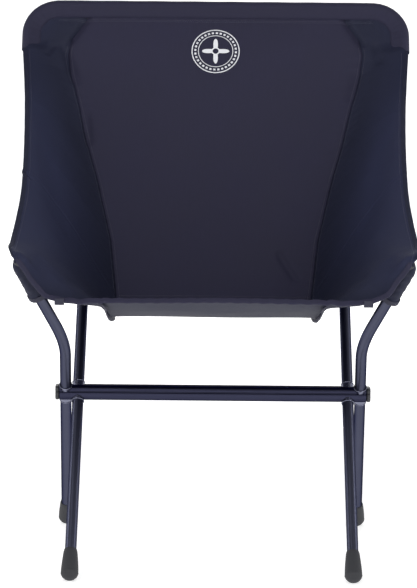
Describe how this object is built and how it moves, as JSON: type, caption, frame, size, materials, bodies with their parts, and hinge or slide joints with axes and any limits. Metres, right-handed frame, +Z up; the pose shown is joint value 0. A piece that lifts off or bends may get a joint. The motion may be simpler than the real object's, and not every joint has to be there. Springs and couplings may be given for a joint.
{
  "type": "camp chair",
  "caption": "Folding-pole camp chair: crossed shock-corded tube frame through one hub bar, tall fabric sling seat with side wings.",
  "frame": {"origin": "on the floor, under the middle of the chair's bounding box", "axes": "+Z up, the sitter faces -Y, +X is to the right seen from the front"},
  "size_m": [0.6216, 0.566, 0.8268],
  "materials": {
    "tube": "dark navy anodised aluminium tube, satin",
    "collar": "dark anodised aluminium, bright rolled rim",
    "bare_aluminium": "drawn aluminium, natural anodised",
    "plastic": "moulded black nylon",
    "rubber": "moulded dark grey rubber, matt",
    "panel_fabric": "plain-woven dark navy polyester, slight sheen",
    "wing_fabric": "plain-woven dark navy polyester, slight sheen",
    "binding": "woven dark navy binding tape and webbing",
    "cord": "braided elastic cord",
    "print": null
  },
  "bodies": {
    "root": {"front_sleeve_left": "collar", "front_ferrule_left": "bare_aluminium", "front_shock_cord_left": "cord", "rear_sleeve_left": "collar", "rear_ferrule_left": "bare_aluminium", "rear_shock_cord_left": "cord", "seat_pole_left": "tube", "seat_pole_plug_left": "plastic", "back_pole_lower_left": "tube", "back_pole_ferrule_left": "bare_aluminium", "back_pole_upper_left": "tube", "bow_side_connector_left": "bare_aluminium", "bow_elbow_left": "tube", "bow_top_connector_left": "bare_aluminium", "back_pole_shock_cord_left": "cord", "hub_end_cap_left": "plastic", "wing_left": "wing_fabric", "side_binding_left": "binding", "corner_pocket_left": "binding", "front_tab_left": "binding", "front_sleeve_right": "collar", "front_ferrule_right": "bare_aluminium", "front_shock_cord_right": "cord", "rear_sleeve_right": "collar", "rear_ferrule_right": "bare_aluminium", "rear_shock_cord_right": "cord", "seat_pole_right": "tube", "seat_pole_plug_right": "plastic", "back_pole_lower_right": "tube", "back_pole_ferrule_right": "bare_aluminium", "back_pole_upper_right": "tube", "bow_side_connector_right": "bare_aluminium", "bow_elbow_right": "tube", "bow_top_connector_right": "bare_aluminium", "back_pole_shock_cord_right": "cord", "hub_end_cap_right": "plastic", "wing_right": "wing_fabric", "side_binding_right": "binding", "corner_pocket_right": "binding", "front_tab_right": "binding", "hub_bar": "tube", "bow_top_tube": "tube", "back_panel": "panel_fabric", "seat_panel": "panel_fabric", "front_hem": "binding", "top_sleeve": "panel_fabric", "round_patch": "print"},
    "front_leg_assembly_left": {"front_leg_left": "tube", "front_foot_left": "rubber", "front_cord_stopper_left": "plastic"},
    "rear_leg_assembly_left": {"rear_leg_left": "tube", "rear_foot_left": "rubber", "rear_cord_stopper_left": "plastic"},
    "front_leg_assembly_right": {"front_leg_right": "tube", "front_foot_right": "rubber", "front_cord_stopper_right": "plastic"},
    "rear_leg_assembly_right": {"rear_leg_right": "tube", "rear_foot_right": "rubber", "rear_cord_stopper_right": "plastic"}
  },
  "joints": [
    {"name": "front_leg_pull_left", "type": "slide", "parent": "root", "child": "front_leg_assembly_left", "axis": [-0.0111, -0.6412, -0.7673], "range_m": [0, 0.07], "stiffness_N_per_m": 120, "springref_m": -0.06, "deforming": ["front_shock_cord_left"]},
    {"name": "rear_leg_pull_left", "type": "slide", "parent": "root", "child": "rear_leg_assembly_left", "axis": [-0.0233, 0.6471, -0.762], "range_m": [0, 0.07], "stiffness_N_per_m": 120, "springref_m": -0.06, "deforming": ["rear_shock_cord_left"]},
    {"name": "front_leg_pull_right", "type": "slide", "parent": "root", "child": "front_leg_assembly_right", "axis": [0.0111, -0.6412, -0.7673], "range_m": [0, 0.07], "stiffness_N_per_m": 120, "springref_m": -0.06, "deforming": ["front_shock_cord_right"]},
    {"name": "rear_leg_pull_right", "type": "slide", "parent": "root", "child": "rear_leg_assembly_right", "axis": [0.0233, 0.6471, -0.762], "range_m": [0, 0.07], "stiffness_N_per_m": 120, "springref_m": -0.06, "deforming": ["rear_shock_cord_right"]}
  ]
}
